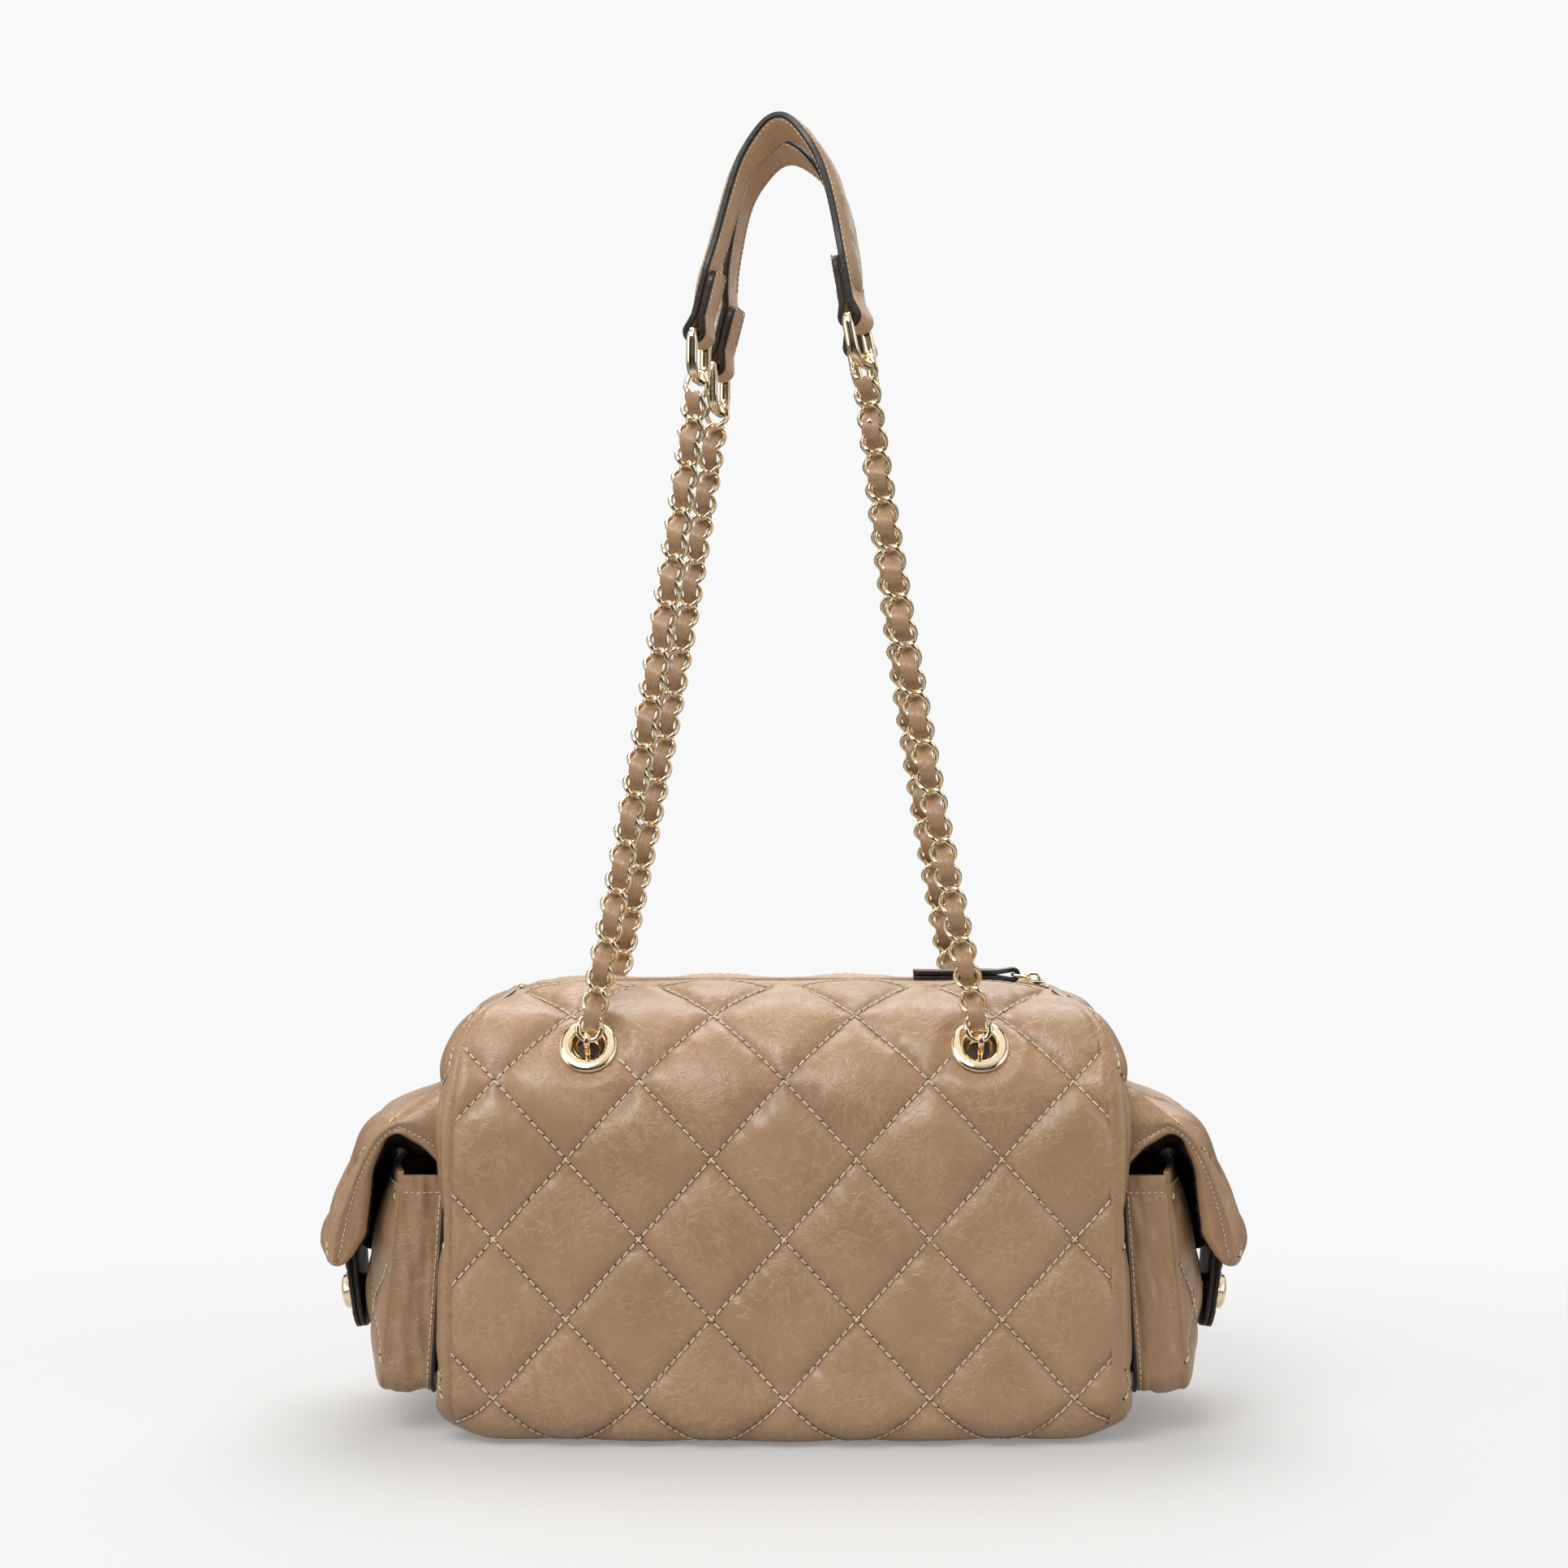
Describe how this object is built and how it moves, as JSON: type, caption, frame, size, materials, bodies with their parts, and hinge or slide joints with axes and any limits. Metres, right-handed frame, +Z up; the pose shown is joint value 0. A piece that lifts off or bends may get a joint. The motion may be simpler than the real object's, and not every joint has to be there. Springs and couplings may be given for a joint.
{
  "type": "quilted shoulder bag",
  "caption": "Structured barrel-topped shoulder bag with a top zip, flap pockets on its ends and laced chain handles with padded straps.",
  "frame": {"origin": "on the floor under the middle of the base", "axes": "+X to the bag's right end along the zip, +Y from the front to the back, +Z up"},
  "size_m": [0.3312, 0.112, 0.4648],
  "materials": {
    "tan_leather": "crinkled, softly glazed",
    "painted_edge": "black edge paint, glossy",
    "gold_metal": "polished",
    "dark_lining": "satin",
    "zip_tape": "woven",
    "base_board": "matt"
  },
  "bodies": {
    "bag": {"front_panel": "tan_leather", "back_panel": "tan_leather", "base_panel": "tan_leather", "left_end_panel": "tan_leather", "right_end_panel": "tan_leather", "lining": "dark_lining", "base_board": "base_board", "zip_tape_front": "zip_tape", "zip_tape_back": "zip_tape", "zip_teeth_front": "gold_metal", "zip_teeth_back": "gold_metal", "zip_stop_left": "gold_metal", "zip_stop_right": "gold_metal", "front_left_eyelet": "gold_metal", "front_left_washer": "gold_metal", "front_left_bail": "gold_metal", "front_right_eyelet": "gold_metal", "front_right_washer": "gold_metal", "front_right_bail": "gold_metal", "back_left_eyelet": "gold_metal", "back_left_washer": "gold_metal", "back_left_bail": "gold_metal", "back_right_eyelet": "gold_metal", "back_right_washer": "gold_metal", "back_right_bail": "gold_metal", "left_pocket_back": "painted_edge", "left_pocket_gusset": "tan_leather", "left_pocket_front": "tan_leather", "left_snap_socket": "gold_metal", "right_pocket_back": "painted_edge", "right_pocket_gusset": "tan_leather", "right_pocket_front": "tan_leather", "right_snap_socket": "gold_metal"},
    "zip_slider": {"zip_slider": "gold_metal"},
    "pull_ring": {"zip_pull_ring": "gold_metal"},
    "pull_tab": {"zip_pull_tab": "painted_edge"},
    "front_chains": {"front_left_chain": "gold_metal", "front_left_lace": "tan_leather", "front_right_chain": "gold_metal", "front_right_lace": "tan_leather"},
    "front_handle": {"front_left_ring": "gold_metal", "front_right_ring": "gold_metal", "front_strap": "painted_edge", "front_strap_pad": "tan_leather"},
    "back_chains": {"back_left_chain": "gold_metal", "back_left_lace": "tan_leather", "back_right_chain": "gold_metal", "back_right_lace": "tan_leather"},
    "back_handle": {"back_left_ring": "gold_metal", "back_right_ring": "gold_metal", "back_strap": "painted_edge", "back_strap_pad": "tan_leather"},
    "left_flap": {"left_pocket_flap": "tan_leather"},
    "left_tab": {"left_closure_tab": "painted_edge", "left_tab_cap": "gold_metal"},
    "right_flap": {"right_pocket_flap": "tan_leather"},
    "right_tab": {"right_closure_tab": "painted_edge", "right_tab_cap": "gold_metal"}
  },
  "joints": [
    {"name": "zip_slide", "type": "slide", "parent": "bag", "child": "zip_slider", "axis": [1, 0, 0], "range_m": [-0.178, 0]},
    {"name": "pull_ring_hinge", "type": "hinge", "parent": "zip_slider", "child": "pull_ring", "pos_m": [0.08905, 0, 0.15595], "axis": [0, 1, 0], "range_deg": [0, 90]},
    {"name": "pull_tab_hinge", "type": "hinge", "parent": "pull_ring", "child": "pull_tab", "pos_m": [0.08299, 0, 0.15724], "axis": [0, 1, 0], "range_deg": [0, 60]},
    {"name": "front_chain_swing", "type": "hinge", "parent": "bag", "child": "front_chains", "pos_m": [0, -0.04941, 0.13812], "axis": [1, 0, 0], "range_deg": [0, 100]},
    {"name": "back_chain_swing", "type": "hinge", "parent": "bag", "child": "back_chains", "pos_m": [0, 0.04941, 0.13812], "axis": [-1, 0, 0], "range_deg": [0, 100]},
    {"name": "front_handle_swing", "type": "hinge", "parent": "front_chains", "child": "front_handle", "pos_m": [-0.03069, -0.01002, 0.37429], "axis": [0.9549, -0.2948, 0.0362], "range_deg": [0, 35]},
    {"name": "back_handle_swing", "type": "hinge", "parent": "back_chains", "child": "back_handle", "pos_m": [-0.0243, 0.01798, 0.36768], "axis": [-0.9473, 0.3135, -0.0654], "range_deg": [0, 35]},
    {"name": "left_flap_hinge", "type": "hinge", "parent": "bag", "child": "left_flap", "pos_m": [-0.11985, 0, 0.121], "axis": [0, 1, 0], "range_deg": [0, 110]},
    {"name": "right_flap_hinge", "type": "hinge", "parent": "bag", "child": "right_flap", "pos_m": [0.11985, 0, 0.121], "axis": [0, -1, 0], "range_deg": [0, 110]},
    {"name": "left_tab_hinge", "type": "hinge", "parent": "left_flap", "child": "left_tab", "pos_m": [-0.15749, 0, 0.0572], "axis": [0, 1, 0], "range_deg": [0, 60]},
    {"name": "right_tab_hinge", "type": "hinge", "parent": "right_flap", "child": "right_tab", "pos_m": [0.15749, 0, 0.0572], "axis": [0, -1, 0], "range_deg": [0, 60]}
  ]
}
